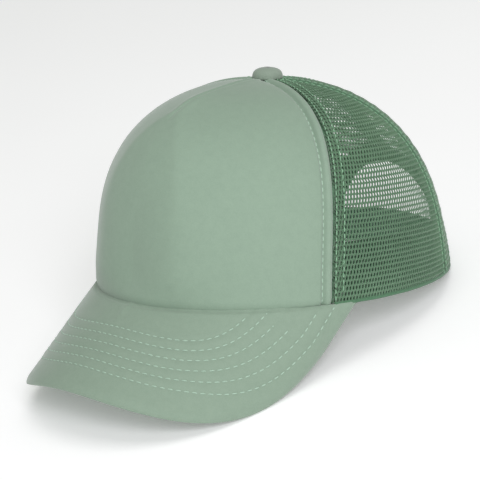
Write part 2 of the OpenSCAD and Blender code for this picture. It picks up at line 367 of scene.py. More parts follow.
def noise(nt, vec, scale, detail=3.0, rough=0.55):
    n = node(nt, "ShaderNodeTexNoise")
    n.inputs["Scale"].default_value = scale
    n.inputs["Detail"].default_value = detail
    n.inputs["Roughness"].default_value = rough
    nt.links.new(vec, n.inputs["Vector"])
    return n.outputs["Fac"]


def srgb(r, g, b):
    return tuple(((c / 255 + 0.055) / 1.055) ** 2.4 if c / 255 > 0.04045 else c / 255 / 12.92 for c in (r, g, b))


def weave_height(nt, vec, pitch_u, pitch_v):
    """Height of a plain weave of threads: two crossed sets of ridges that pass over and under each other."""
    sep = node(nt, "ShaderNodeSeparateXYZ")
    nt.links.new(vec, sep.inputs[0])
    u = math_node(nt, "MULTIPLY", sep.outputs[0], 2 * math.pi / pitch_u)
    v = math_node(nt, "MULTIPLY", sep.outputs[1], 2 * math.pi / pitch_v)
    su, sv = math_node(nt, "SINE", u), math_node(nt, "SINE", v)
    prod = math_node(nt, "MULTIPLY", su, sv)
    hu = math_node(nt, "SINE", math_node(nt, "MULTIPLY", u, 2.0))
    hv = math_node(nt, "SINE", math_node(nt, "MULTIPLY", v, 2.0))
    return math_node(nt, "ADD", math_node(nt, "MULTIPLY", prod, 0.6), math_node(nt, "MULTIPLY", math_node(nt, "ADD", hu, hv), 0.2))


def cloth(name, col, dark, light, pitch=(0.45, 0.45), weave=0.35, rough=0.85, sheen=0.25, coord="cut", blot=0.14, bump=0.00004):
    """Cloth: a fine weave in the colour and the bump, soft blotches, a few fibres, and sheen."""
    m, nt, b = material(name)
    vec = cut_coords(nt)
    obj = obj_coords(nt)
    h = weave_height(nt, vec, *pitch)
    big = noise(nt, obj, 14.0, 3.0)
    mid = noise(nt, obj, 260.0, 4.0, 0.6)
    fine = noise(nt, obj, 1700.0, 3.0, 0.7)
    mix = math_node(nt, "ADD", math_node(nt, "MULTIPLY", big, blot), math_node(nt, "MULTIPLY", mid, 0.3))
    mix = math_node(nt, "ADD", mix, math_node(nt, "MULTIPLY", h, weave * 0.25))
    mix = math_node(nt, "ADD", mix, math_node(nt, "MULTIPLY", fine, 0.45))
    c = ramp(nt, mix, [(0.25, dark), (0.45, col), (0.7, light)])
    nt.links.new(c, b.inputs["Base Color"])
    r = math_node(nt, "ADD", math_node(nt, "MULTIPLY", mid, 0.12), rough - 0.06)
    nt.links.new(r, b.inputs["Roughness"])
    b.inputs["Sheen Weight"].default_value = sheen
    b.inputs["Sheen Roughness"].default_value = 0.45
    b.inputs["Specular IOR Level"].default_value = 0.3
    hb = math_node(nt, "ADD", math_node(nt, "MULTIPLY", h, weave), math_node(nt, "MULTIPLY", fine, 1.0))
    bn = node(nt, "ShaderNodeBump")
    bn.inputs["Strength"].default_value = 0.6
    bn.inputs["Distance"].default_value = bump
    nt.links.new(hb, bn.inputs["Height"])
    nt.links.new(bn.outputs[0], b.inputs["Normal"])
    return m


SAGE, SAGE_D, SAGE_L = srgb(138, 160, 141), srgb(131, 153, 134), srgb(146, 167, 148)
GREEN, GREEN_D, GREEN_L = srgb(84, 121, 90), srgb(60, 95, 66), srgb(118, 152, 120)
m_face = cloth("face_cloth", SAGE, SAGE_D, SAGE_L, (0.42, 0.42), 0.3, 0.8, 0.35)
m_brim = cloth("brim_cloth", srgb(136, 156, 138), srgb(129, 149, 131), srgb(144, 163, 145), (0.42, 0.42), 0.3, 0.8, 0.35)
m_under = cloth("brim_under_cloth", srgb(120, 140, 123), srgb(110, 130, 113), srgb(130, 150, 133), (0.5, 0.5), 0.5, 0.85, 0.25)
m_tape = cloth("tape_cloth", srgb(104, 142, 112), srgb(84, 122, 92), srgb(128, 162, 134), (0.8, 0.7), 1.0, 0.8, 0.2, bump=0.00008)
m_band = cloth("band_cloth", srgb(70, 112, 84), srgb(58, 98, 70), srgb(86, 128, 98), (0.7, 0.7), 0.8, 0.9, 0.4, bump=0.00007)
m_bind = cloth("binding_cloth", srgb(78, 118, 88), srgb(62, 100, 72), srgb(100, 138, 108), (0.7, 0.9), 1.0, 0.8, 0.2, bump=0.00008)
m_button = cloth("button_cloth", srgb(140, 155, 140), srgb(130, 146, 131), srgb(150, 165, 150), (0.42, 0.42), 0.4, 0.8, 0.35)


def net_material():
    m, nt, b = material("net_yarn")
    obj = obj_coords(nt)
    big = noise(nt, obj, 18.0, 2.0)
    fine = noise(nt, obj, 2600.0, 3.0, 0.7)
    mix = math_node(nt, "ADD", math_node(nt, "MULTIPLY", big, 0.35), math_node(nt, "MULTIPLY", fine, 0.65))
    c = ramp(nt, mix, [(0.3, GREEN_D), (0.5, GREEN), (0.72, GREEN_L)])
    nt.links.new(c, b.inputs["Base Color"])
    r = math_node(nt, "ADD", math_node(nt, "MULTIPLY", fine, 0.2), 0.38)
    nt.links.new(r, b.inputs["Roughness"])
    b.inputs["Sheen Weight"].default_value = 0.2
    b.inputs["Specular IOR Level"].default_value = 0.45
    bn = node(nt, "ShaderNodeBump")
    bn.inputs["Strength"].default_value = 0.5
    bn.inputs["Distance"].default_value = 0.00006
    nt.links.new(fine, bn.inputs["Height"])
    nt.links.new(bn.outputs[0], b.inputs["Normal"])
    return m


m_net = net_material()


def thread_material(name, col, light):
    m, nt, b = material(name)
    obj = obj_coords(nt)
    w = node(nt, "ShaderNodeTexWave", wave_type="BANDS", bands_direction="DIAGONAL")
    w.inputs["Scale"].default_value = 900.0
    w.inputs["Distortion"].default_value = 1.5
    nt.links.new(obj, w.inputs["Vector"])
    c = ramp(nt, w.outputs["Fac"], [(0.1, col), (0.9, light)])
    nt.links.new(c, b.inputs["Base Color"])
    r = math_node(nt, "ADD", math_node(nt, "MULTIPLY", w.outputs["Fac"], 0.15), 0.4)
    nt.links.new(r, b.inputs["Roughness"])
    b.inputs["Sheen Weight"].default_value = 0.2
    bn = node(nt, "ShaderNodeBump")
    bn.inputs["Strength"].default_value = 0.6
    bn.inputs["Distance"].default_value = 0.00008
    nt.links.new(w.outputs["Fac"], bn.inputs["Height"])
    nt.links.new(bn.outputs[0], b.inputs["Normal"])
    return m


m_thread = thread_material("pale_thread", srgb(150, 182, 160), srgb(184, 208, 190))
m_thread_g = thread_material("green_thread", srgb(112, 160, 124), srgb(150, 192, 158))


def foam_material(name="foam", col=srgb(232, 232, 226), dark=srgb(205, 206, 198)):
    m, nt, b = material(name)
    obj = obj_coords(nt)
    v = node(nt, "ShaderNodeTexVoronoi")
    v.inputs["Scale"].default_value = 1100.0
    nt.links.new(obj, v.inputs["Vector"])
    big = noise(nt, obj, 30.0, 3.0)
    mix = math_node(nt, "ADD", math_node(nt, "MULTIPLY", v.outputs["Distance"], 0.7), math_node(nt, "MULTIPLY", big, 0.4))
    c = ramp(nt, mix, [(0.15, dark), (0.6, col)])
    nt.links.new(c, b.inputs["Base Color"])
    r = math_node(nt, "ADD", math_node(nt, "MULTIPLY", big, 0.1), 0.85)
    nt.links.new(r, b.inputs["Roughness"])
    bn = node(nt, "ShaderNodeBump")
    bn.inputs["Strength"].default_value = 0.7
    bn.inputs["Distance"].default_value = 0.00015
    nt.links.new(v.outputs["Distance"], bn.inputs["Height"])
    nt.links.new(bn.outputs[0], b.inputs["Normal"])
    return m


m_foam = foam_material()


def plastic_material(name, col, dark, rough=0.38):
    m, nt, b = material(name)
    obj = obj_coords(nt)
    fine = noise(nt, obj, 700.0, 4.0, 0.6)
    big = noise(nt, obj, 40.0, 2.0)
    mix = math_node(nt, "ADD", math_node(nt, "MULTIPLY", fine, 0.4), math_node(nt, "MULTIPLY", big, 0.5))
    c = ramp(nt, mix, [(0.3, dark), (0.65, col)])
    nt.links.new(c, b.inputs["Base Color"])
    r = math_node(nt, "ADD", math_node(nt, "MULTIPLY", fine, 0.2), rough - 0.1)
    nt.links.new(r, b.inputs["Roughness"])
    bn = node(nt, "ShaderNodeBump")
    bn.inputs["Strength"].default_value = 0.3
    bn.inputs["Distance"].default_value = 0.00006
    nt.links.new(fine, bn.inputs["Height"])
    nt.links.new(bn.outputs[0], b.inputs["Normal"])
    return m


m_strap = plastic_material("strap_plastic", srgb(78, 124, 98), srgb(62, 106, 82))
m_board = plastic_material("board_plastic", srgb(226, 226, 220), srgb(206, 206, 198), 0.5)


def metal_material():
    m, nt, b = material("button_metal")
    obj = obj_coords(nt)
    f = noise(nt, obj, 500.0, 4.0, 0.7)
    c = ramp(nt, f, [(0.3, (0.42, 0.42, 0.43)), (0.7, (0.6, 0.6, 0.62))])
    nt.links.new(c, b.inputs["Base Color"])
    b.inputs["Metallic"].default_value = 1.0
    r = math_node(nt, "ADD", math_node(nt, "MULTIPLY", f, 0.25), 0.25)
    nt.links.new(r, b.inputs["Roughness"])
    return m


m_metal = metal_material()

# ------------------------------------------------------------------ front panel
def facets(p, w):
    """The stiff front folds into a narrow middle face and two side faces: two soft ridges run down from the dart's tip to the rim."""
    P = crown(p, w)
    z = P[..., 2]
    c = p * mm_deg(p, w)
    cr = 27.0 * np.clip(1 - (z / 90) ** 4, 0, 1) ** 0.9
    low_ = 1 - sm(z, 20, 88)
    amp = 2.7 - 0.4 * low_
    soft = 1.4 + 4.2 * low_
    run = 15.0 + 3.0 * low_

    def ridge(x):
        return np.exp(-(np.sqrt(x * x + soft * soft) - soft) / run)

    fade = sm(z, 1, 16) * (1 - 0.75 * sm(z, 93, 101.5))
    s_ = (seam_f(w) - np.abs(p)) * mm_deg(p, w)
    return amp * np.maximum(ridge(c - cr), ridge(c + cr)) * fade * sm(s_, 0, 22) - 1.6 * np.exp(-((c / 16) ** 2)) * low_ * fade


def front_shape(p, w):
    """How far the front's face stands out of the plain crown, in millimetres."""
    P = crown(p, w)
    z = P[..., 2]
    k = mm_deg(p, w)
    s = (seam_f(w) - np.abs(p)) * k
    c = np.abs(p) * k
    deep = 1 + 0.5 * sm(z, 55, 90)
    d = 0.75 * np.exp(-(((s - 2.9) / 1.7) ** 2)) - 1.5 * deep * np.exp(-(((s - 5.8) / 0.95) ** 2))
    d += 0.35 * sm(s, 6, 11) - 1.1 * np.exp(-((s / 0.8) ** 2))
    top = sm(z, 84, 93)
    d += facets(p, w) - 0.8 * np.exp(-((c / 0.7) ** 2)) * top + 0.25 * top * np.exp(-(((c - 2.6) / 1.8) ** 2))
    d -= 2.1 * np.clip(1 - z / 5.0, 0, 1) ** 2 + 1.1 * np.clip(1 - s / 3.6, 0, 1) ** 2
    d += 0.16 * soft_noise(P, 42, 3) * sm(s, 3, 14) + 0.05 * soft_noise(P, 13, 5) * sm(s, 2, 8)
    return d


def uneven(n, centres, width, amount):
    """n values from -1 to 1, denser near the centres."""
    x = np.linspace(-1, 1, 4001)
    den = np.ones_like(x)
    for c in centres:
        den += amount * np.exp(-(((x - c) / width) ** 2))
    cum = np.concatenate([[0], np.cumsum((den[1:] + den[:-1]) / 2)])
    return np.interp(np.linspace(0, cum[-1], n), cum, x)


def rows_w(n, e=1.7, w1=W_TOP, w0=0.02):
    return w0 + (w1 - w0) * np.linspace(0, 1, n) ** e


def foot_rows(p, n_low, n, z0=0.3, z1=13.0, e=1.25):
    """w for every row (first axis) at the angles p: even steps of height near the rim, then even steps along the crown."""
    zl = np.linspace(z0, z1, n_low)
    lo = np.stack([w_at(p, z_) for z_ in zl])
    t = (np.linspace(0, 1, n - n_low + 1)[1:]) ** e
    return np.concatenate([lo, lo[-1:] + (W_TOP - lo[-1:]) * t[:, None]])


uc = uneven(210, [-0.97, 0, 0.97], 0.05, 4)
Wg = foot_rows(uc * FS, 16, 124)
Pg = uc[None] * (seam_f(Wg) - 0.12)
top = coff(Pg, Wg, front_shape(Pg, Wg))
tuck = np.clip(1 - crown(Pg, Wg)[..., 2] / 5.0, 0, 1) ** 2
low = coff(Pg, Wg, np.minimum(-0.9 + facets(Pg, Wg) - 2.1 * tuck - 0.9 * np.exp(-(((seam_f(Wg) - np.abs(Pg)) * mm_deg(Pg, Wg) / 7) ** 2)), front_shape(Pg, Wg) - 0.6))
s_mm = Pg * mm_deg(Pg, Wg)
v_mm = np.cumsum(np.concatenate([np.zeros((1, len(uc))), np.linalg.norm(np.diff(crown(Pg, Wg), axis=0), axis=-1)]), 0)
front = layer("front_face_cloth", top, 0.8, np.stack([s_mm, v_mm], -1), low=low)
front.data.materials.append(m_face)
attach(front, "cap")
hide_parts("front_cover")

uc2 = np.linspace(-1, 1, 90)
Wf = foot_rows(uc2 * FS, 8, 60)
Pf = uc2[None] * (seam_f(Wf) - 0.2)
zf = crown(Pf, Wf)[..., 2]
f_edge = np.exp(-(((seam_f(Wf) - np.abs(Pf)) * mm_deg(Pf, Wf) / 7) ** 2))
s_f = (seam_f(Wf) - np.abs(Pf)) * mm_deg(Pf, Wf)
f_dip = np.exp(-(((s_f - 5.8) / 3.2) ** 2))
f_out = coff(Pf, Wf, np.minimum(-1.1 - 2.1 * f_dip + facets(Pf, Wf) - 0.9 * f_edge - 2.1 * np.clip(1 - zf / 5.0, 0, 1) ** 2, front_shape(Pf, Wf) - 0.8))
f_in = coff(Pf, Wf, -3.0 - 1.3 * f_dip * sm(zf, 31, 40) - 1.0 * np.clip(1 - zf / 5.0, 0, 1) ** 2 + 0.5 * facets(Pf, Wf) + 0.12 * soft_noise(crown(Pf, Wf), 9, 8))
foam = layer("front_foam_back", f_out, 1.4, np.stack([Pf, Wf], -1), low=f_in)
foam.data.materials.append(m_foam)
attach(foam, "cap")
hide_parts("front_foam")


# ------------------------------------------------------------------ mesh panels
def net(name, sign, left, right, foot, pu=1.9, pv=2.45, depth=0.0, hole=(0.385, 0.83), slant=0.22, thick=0.26, band=None, shift=(0.0, 0.0), ripple=0.42):
    """A knitted net laid on the crown between two seams. left and right give the seams' angles at a w; foot gives the lowest w at an angle.
    Rows run parallel to the rim. Each cell is a six-sided hole with round strands between it and the next."""
    wt = np.linspace(0.02, 87.0, 900)
    mid = (left(wt) + right(wt)) / 2
    line = crown(mid, wt)
    arc = np.concatenate([[0], np.cumsum(np.linalg.norm(np.diff(line, axis=0), axis=1))])
    rows = int(arc[-1] / pv)
    half = 52.0
    nu = int(half / pu)

    def surf(u, v, lift_):
        w = np.interp(v, arc, wt)
        pc = np.interp(v, arc, mid)
        p = pc + u / np.maximum(mm_deg(pc, w), 0.02)
        return p, w

    r_, c_ = np.meshgrid(np.arange(rows), np.arange(-nu, nu + 1), indexing="ij")
    cu = (c_ + 0.5 * (r_ % 2) + shift[0]) * pu
    cv = (r_ + 0.5 + shift[1]) * pv
    cu, cv = cu.ravel(), cv.ravel()
    p, w = surf(cu, cv, 0)
    k = mm_deg(p, w)
    okay = ((p - left(w)) * k > 0.25) & ((right(w) - p) * k > 0.25) & (cv < arc[-1] - 2) & (w > foot(p))
    if band is not None:
        okay &= band(p, w, k)
    cu, cv = cu[okay], cv[okay]
    # corners of each cell, shared with its neighbours
    hx = np.array([0, 0.5, 0.5, 0, -0.5, -0.5]) * pu
    hy = np.array([-2 / 3, -1 / 3, 1 / 3, 2 / 3, 1 / 3, -1 / 3]) * pv
    ou, ov = cu[:, None] + hx, cv[:, None] + hy
    key = np.round(np.stack([ou.ravel() / (pu / 2), ov.ravel() / (pv / 3)], 1)).astype(np.int64)
    uniq, first, inv = np.unique(key, axis=0, return_index=True, return_inverse=True)
    inv = inv.reshape(-1, 6)
    Ou, Ov = ou.ravel()[first], ov.ravel()[first]
    n_o = len(Ou)
    # the hole: twelve points, an upright oval pulled in from the cell's sides
    ang = rad(np.arange(12) * 30 - 90)
    ia, ib = hole
    iv = cv[:, None] + ib * np.sin(ang)
    iu = cu[:, None] + ia * np.cos(ang) + slant * ib * np.sin(ang)
    n_c = len(cu)
    allu, allv = np.concatenate([Ou, iu.ravel()]), np.concatenate([Ov, iv.ravel()])
    p, w = surf(allu, np.clip(allv, 0.01, arc[-1]), 0)
    base, nrm = crown(p, w), crown_n(p, w)
    wob = 0.05 * soft_noise(base, 5.0, 11)
    k_ = mm_deg(p, w)
    free = sm(np.minimum((p - left(w)) * k_, (right(w) - p) * k_), 6, 17) * sm(base[:, 2], 6, 20)
    wave = np.sin(2 * np.pi * (allv + 0.10 * allu) / 8.6 + 2.2 * soft_noise(base, 26.0, 17))
    wob = wob + ripple * free * (wave * (0.75 + 0.4 * soft_noise(base, 18.0, 19)) - 0.35)
    mid_d = -0.45 + depth + wob
    t = np.where(np.arange(len(allu)) < n_o, thick, 0.0)
    top_ = base + nrm * (mid_d + t)[:, None]
    low_ = base + nrm * (mid_d - t)[:, None]
    V = np.concatenate([top_[:n_o], low_[:n_o], top_[n_o:]])
    o_i = n_o * 2 + np.arange(n_c)[:, None] * 12
    F4, F3 = [], []
    for side, flip in ((0, False), (n_o, True)):
        for e in range(6):
            a, b = inv[:, e] + side, inv[:, (e + 1) % 6] + side
            i0 = (2 * e) % 12
            i1, i2 = (i0 + 1) % 12, (i0 + 2) % 12
            # corner e faces hole point 2e; the side between corners e and e+1 faces points 2e, 2e+1 and 2e+2
            q = np.stack([a, b, o_i[:, 0] + i2, o_i[:, 0] + i1], 1)
            t3 = np.stack([a, o_i[:, 0] + i1, o_i[:, 0] + i0], 1)
            F4.append(q[:, ::-1] if flip else q)
            F3.append(t3[:, ::-1] if flip else t3)
    V = V.copy()
    if sign < 0:
        V[:, 0] *= -1
        F4 = [f[:, ::-1] for f in F4]
        F3 = [f[:, ::-1] for f in F3]
    o = build(name, V, [np.concatenate(F4), np.concatenate(F3)])
    o.data.materials.append(m_net)
    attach(o, "cap")
    return o


def no_foot(p):
    return np.full(np.shape(p), w_at(p, 0.9))


def arch_foot(p):
    """Lowest w of the back mesh at an angle, along the arch."""
    t = np.linspace(0, 90, 400)
    ap, aw = arch_pw(t, 0.35)
    lo = np.interp(p, ap, aw)
    return np.where(p < ap[0], w_at(p, 0.9), lo)


def back_edge(w):
    return np.full(np.shape(w), 179.95)


nets = []
for sign, side in ((1, "left"), (-1, "right")):
    a = net(f"net_side_{side}", sign, seam_f, seam_r, no_foot)
    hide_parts(f"side_mesh_{side}")
    b = net(f"net_back_{side}", sign, seam_r, back_edge, arch_foot, ripple=0.15)
    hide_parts(f"back_mesh_{side}")
    c = net(f"net_fold_{side}", sign, seam_f, seam_r, no_foot, depth=-0.55, band=lambda p, w, k: (p - seam_f(w)) * k < 5.6, shift=(0.35, 0.4), slant=-0.2, ripple=0.0)
    for o in (a, b, c):
        nets.append(o)


# ------------------------------------------------------------------ tapes inside
def tape_piece(name, node_name, line, m0, m1, w0, w1, d0, d1, sign=1, thick=0.5, e=1.7):
    w = w0 + (w1 - w0) * np.linspace(0, 1, 90) ** e
    m = np.linspace(m0, m1, 13)
    Wt, Mt = np.meshgrid(w, m, indexing="ij")
    pc = line(Wt)
    p = pc + Mt / mm_deg(pc, Wt)
    k = np.clip((Mt - (m0 + m1) / 2) / ((m1 - m0) / 2), 0, 1)
    d = d0 + (d1 - d0) * k
    base = crown(p, Wt)
    d = d - 0.12 * np.abs(2 * (Mt - m0) / (m1 - m0) - 1) ** 6 + 0.05 * soft_noise(base, 8, 21)
    top_ = base + crown_n(p, Wt) * d[..., None]
    low_ = base + crown_n(p, Wt) * (d - thick)[..., None]
    arc = np.cumsum(np.concatenate([np.zeros((1, 13)), np.linalg.norm(np.diff(base, axis=0), axis=-1)]), 0)
    if sign < 0:
        top_[..., 0] *= -1
        low_[..., 0] *= -1
        top_, low_ = top_[:, ::-1], low_[:, ::-1]
    o = layer(name, top_, thick, np.stack([Mt, arc], -1), low=low_)
    o.data.materials.append(m_tape)
    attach(o, "cap")
    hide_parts(node_name)
    return o


tape_piece("tape_dart", "front_dart_tape", lambda w: 0 * w, -6, 6, w_at(0, 1.2), 82, -3.2, -3.2)
for sign, side in ((1, "left"), (-1, "right")):
    tape_piece(f"tape_front_seam_{side}", f"front_seam_tape_{side}", seam_f, -6, 6, w_at(70, 1.0), 81, -3.2, -1.5, sign)
    tape_piece(f"tape_rear_seam_{side}", f"rear_seam_tape_{side}", seam_r, -6, 6, w_at(124, 1.0), 81, -1.2, -1.2, sign)
tape_piece("tape_back_centre", "back_centre_tape", lambda w: 180 + 0 * w, -6, 6, w_at(180, 60), 82, -1.2, -1.2, e=1.0)

# ------------------------------------------------------------------ sweatband
ph = np.arange(-148.5, 148.6, 1.0)
zz = np.linspace(0.3, 30.0, 26)
Zg, Ph = np.meshgrid(zz, ph, indexing="ij")
Wb = w_at(Ph, Zg)
base = crown(Ph, Wb)
kz = (Zg - zz[0]) / (zz[-1] - zz[0])
puff = 0.45 * np.sin(math.pi * np.clip(kz * 1.12, 0, 1)) ** 0.7 + 0.06 * soft_noise(base, 11, 31)
b_out = base + crown_n(Ph, Wb) * (-4.0 + 0 * puff)[..., None]
b_in = base + crown_n(Ph, Wb) * (-4.7 - puff)[..., None]
around = np.cumsum(np.concatenate([np.zeros((len(zz), 1)), np.linalg.norm(np.diff(base, axis=1), axis=-1)], 1), 1)
band = layer("sweatband_cloth", b_out, 1.0, np.stack([around, Zg], -1), low=b_in)
band.data.materials.append(m_band)
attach(band, "cap")
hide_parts("sweatband")


def tube(name, P, N, a_out, b_side, n=10, sides=8, mat=None, uvs=1.0):
    """A closed tube along the line P with an oval section: a_out along the normals N, b_side across."""
    t = np.gradient(P, axis=0)
    t /= np.linalg.norm(t, axis=1, keepdims=True)
    s = np.cross(t, N)
    s /= np.linalg.norm(s, axis=1, keepdims=True)
    a = np.linspace(0, 2 * math.pi, sides, endpoint=False)
    V = P[:, None] + N[:, None] * (np.sin(a) * a_out)[None, :, None] + s[:, None] * (np.cos(a) * b_side)[None, :, None]
    R_ = len(P)
    i, j = np.meshgrid(np.arange(R_ - 1), np.arange(sides), indexing="ij")
    q = np.stack([i * sides + j, i * sides + (j + 1) % sides, (i + 1) * sides + (j + 1) % sides, (i + 1) * sides + j], -1).reshape(-1, 4)
    caps = np.stack([np.arange(sides)[::-1], (R_ - 1) * sides + np.arange(sides)])
    L = np.concatenate([[0], np.cumsum(np.linalg.norm(np.diff(P, axis=0), axis=1))])
    uv = np.stack([np.repeat(L[:, None], sides, 1), np.repeat((np.arange(sides) * 0.6)[None], R_, 0)], -1)
    o = build(name, V.reshape(-1, 3), [q, caps], uv)
    if mat:
        o.data.materials.append(mat)
    return o


# the rolled hem where the mesh, tape and sweatband meet at the rim
for sign, side in ((1, "left"), (-1, "right")):
    p = np.linspace(FS + 0.3, 150.6, 200)
    P, N = crown_line(p, 0 * p + 0.05, -0.5, 0.9)
    P[:, 2] = 1.0 + 0.06 * soft_noise(P, 7, 4)
    P[:, 0] *= sign
    N[:, 0] *= sign
    hem = tube(f"rim_hem_{side}", P, N, 0.75, 0.95, mat=m_bind)
    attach(hem, "cap")

# ------------------------------------------------------------------ binding round the arched opening
tt = np.linspace(0, 180, 121)


def arch_pt(t, a, d):
    t = np.asarray(t, float)
    p, w = arch_pw(np.where(t <= 90, t, 180 - t), a)
    w = np.maximum(w, 0.02)
    p = np.where(t <= 90, p, 360 - p)
    return coff(p, w, d)


prof = [(8.0, 0.12), (8.0, 0.55), (7.2, 0.78), (4.0, 0.72), (1.0, 0.78), (-0.2, 0.66), (-0.85, 0.1), (-0.95, -0.5), (-0.85, -1.1), (-0.2, -1.66), (1.0, -1.78), (4.0, -1.7), (7.2, -1.74), (8.0, -1.5), (8.0, -1.05), (4.0, -1.0), (0.6, -0.95), (0.1, -0.45), (0.6, 0.05), (4.0, 0.1)]
rings = []
for a_, d_ in prof:
    rings.append(arch_pt(tt, a_ + 0 * tt, d_ + 0.05 * np.sin(tt * 0.9 + a_) + 0 * tt))
Vr = np.stack(rings, 1)
R_, C_ = Vr.shape[:2]
i, j = np.meshgrid(np.arange(R_ - 1), np.arange(C_), indexing="ij")
q = np.stack([i * C_ + j, i * C_ + (j + 1) % C_, (i + 1) * C_ + (j + 1) % C_, (i + 1) * C_ + j], -1).reshape(-1, 4)
caps = np.stack([np.arange(C_)[::-1], (R_ - 1) * C_ + np.arange(C_)])
across = np.concatenate([[0], np.cumsum(np.linalg.norm(np.diff(np.array(prof), axis=0), axis=1))])
along = np.concatenate([[0], np.cumsum(np.linalg.norm(np.diff(Vr[:, 6], axis=0), axis=1))])
uv = np.stack(np.broadcast_arrays(along[:, None], across[None]), -1)
binding = build("opening_binding", Vr.reshape(-1, 3), [q, caps], uv)
binding.data.materials.append(m_bind)
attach(binding, "cap")
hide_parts("back_opening_binding")

# ------------------------------------------------------------------ brim
BL, BH, BR, BP, F0, BE = 56.5, 99.2, 80.0, 37.2, 68.3, 2.46
ROOT_Z, ROOT_P = 1.0, 78.0
cb, sb = math.cos(math.radians(BP)), math.sin(math.radians(BP))


def sgp(x, e):
    return np.sign(x) * np.abs(x) ** e


def bent(s, f):
    b = s / BR
    drop = BR * (1 - np.cos(b))
    g = f - HL
    return np.stack([BR * np.sin(b), -HL - g * cb + drop * sb, ROOT_Z - g * sb - drop * cb], -1)


def root(p, tuck=0.0):
    return np.stack([(HW + 0.3 - tuck) * np.sin(rad(p)), -(HL + 0.3 - tuck) * np.cos(rad(p)), ROOT_Z + 0 * p], -1)


corner = bent(np.array(BH), np.array(F0))
phi_c = deg(np.arcsin(corner[0] / (HW + 0.3)))


def brim_ends(c):
    """For positions c from -2 to 2 along the brim: the point at the crown and the one on the outer edge."""
    c = np.asarray(c, float)
    t = rad(90 * np.clip(c, -1, 1))
    s = BH * sgp(np.sin(t), 2 / BE)
    f = F0 + (HL + BL - F0) * np.maximum(0, np.cos(t)) ** (2 / BE)
    o1 = bent(s, f)
    r1 = root(deg(np.arcsin(np.clip(o1[..., 0] / (HW + 0.3), -1, 1))))
    k = np.clip(np.abs(c) - 1, 0, 1)[..., None]
    sg = np.sign(c)[..., None]
    mirror = np.concatenate([sg, np.ones_like(sg), np.ones_like(sg)], -1)
    e = root(np.array(ROOT_P))
    o2 = (corner + (e - corner) * k * 0.93) * mirror
    r2 = root(phi_c + (ROOT_P - phi_c) * k[..., 0]) * mirror
    main = (np.abs(c) <= 1)[..., None]
    return np.where(main, r1, r2), np.where(main, o1, o2)


cc = np.concatenate([-1 - np.linspace(1, 0, 22)[:-1], np.sign(np.linspace(-1, 1, 201)) * np.abs(np.linspace(-1, 1, 201)), 1 + np.linspace(0, 1, 22)[1:]])
r_pts, o_pts = brim_ends(cc)
# even the columns out along the outer edge
L = np.concatenate([[0], np.cumsum(np.linalg.norm(np.diff(o_pts, axis=0), axis=1) + 0.25 * np.linalg.norm(np.diff(r_pts, axis=0), axis=1))])
cc = np.interp(np.linspace(0, L[-1], 300), L, cc)
r_pts, o_pts = brim_ends(cc)
# the cloth runs on a little way under the crown
r_len = np.linalg.norm(r_pts - o_pts, axis=1, keepdims=True)
inward = -np.stack([r_pts[:, 0] / HW**2, r_pts[:, 1] / HL**2, 0 * r_pts[:, 0]], -1)
inward /= np.linalg.norm(inward, axis=1, keepdims=True)
mix = sm(np.abs(cc), 0.4, 0.78)[:, None]
onward = ((1 - mix) * (r_pts - o_pts) / np.maximum(r_len, 1e-6) + mix * inward) * (0.5 + 2.7 * (1 - sm(np.abs(cc), 0.9, 1.15)))[:, None]
edge_fine = brim_ends(np.interp(np.linspace(0, L[-1], 2400), L, np.interp(L, np.linspace(0, L[-1], len(cc)), cc)))[1]
from mathutils.kdtree import KDTree

tree = KDTree(len(edge_fine))
for i_, q_ in enumerate(edge_fine):
    tree.insert(q_, i_)
tree.balance()


def edge_dist(P):
    return np.array([tree.find(q_)[2] for q_ in P.reshape(-1, 3)]).reshape(P.shape[:-1])


kk = 1 - (1 - np.linspace(0, 1, 110)) ** 1.25
kk = np.concatenate([np.linspace(0, kk[6], 14)[:-1], kk[6:]])
Bm = o_pts[None] + (r_pts - o_pts)[None] * kk[:, None, None]
nB = grid_normals(Bm)
Bm = np.concatenate([Bm, r_pts[None] + onward[None] * np.linspace(0.2, 1, 5)[:, None, None]])
nB = np.concatenate([nB] + [nB[-2:-1]] * 5)
De = edge_dist(Bm)
nB *= np.sign(nB[30, 150, 2])
xb = np.clip(Bm[..., 0] / BR, -0.99, 0.99)
n_arc = np.stack([xb, -np.sqrt(1 - xb * xb) * sb, np.sqrt(1 - xb * xb) * cb], -1)
w_arc = sm(np.abs(cc), 0.5, 0.8)[None, :, None]
nB = nB * (1 - w_arc) + n_arc * w_arc
nB /= np.linalg.norm(nB, axis=-1, keepdims=True)
# the sewn rows spread a little towards the edge where they run in under the crown
ends = 1 - sm(De[-1], 12, 50)
Dq = De + 5.0 * ends[None] * np.clip(1 - (De - 9.8) / 31.4, 0, 1) * sm(De, 2, 9.8)
ROWS = 14.8 + 5.28 * np.arange(6)
EDGE_W, HALF_T = 5.2, 2.05


def quilt(De, P):
    """Height of the quilted top: puffed between the sewn rows, pinched at each."""
    x = (De - ROWS[0]) / 5.28
    inside = (x > 0) & (x < 5)
    ripple = np.abs(np.sin(math.pi * x)) ** 0.75
    d = np.where(inside, 0.5 * ripple - 0.28, 0)
    pin = np.zeros_like(De)
    for r_ in (ROWS[0], ROWS[-1]):
        pin += -0.28 * np.exp(-(((De - r_) / 1.1) ** 2))
    return np.where(inside, d, pin) + 0.12 * soft_noise(P, 30, 41)


def edge_round(De):
    k = np.clip(1 - De / EDGE_W, 0, 1)
    return HALF_T * np.sqrt(np.clip(1 - k * k, 0, 1))


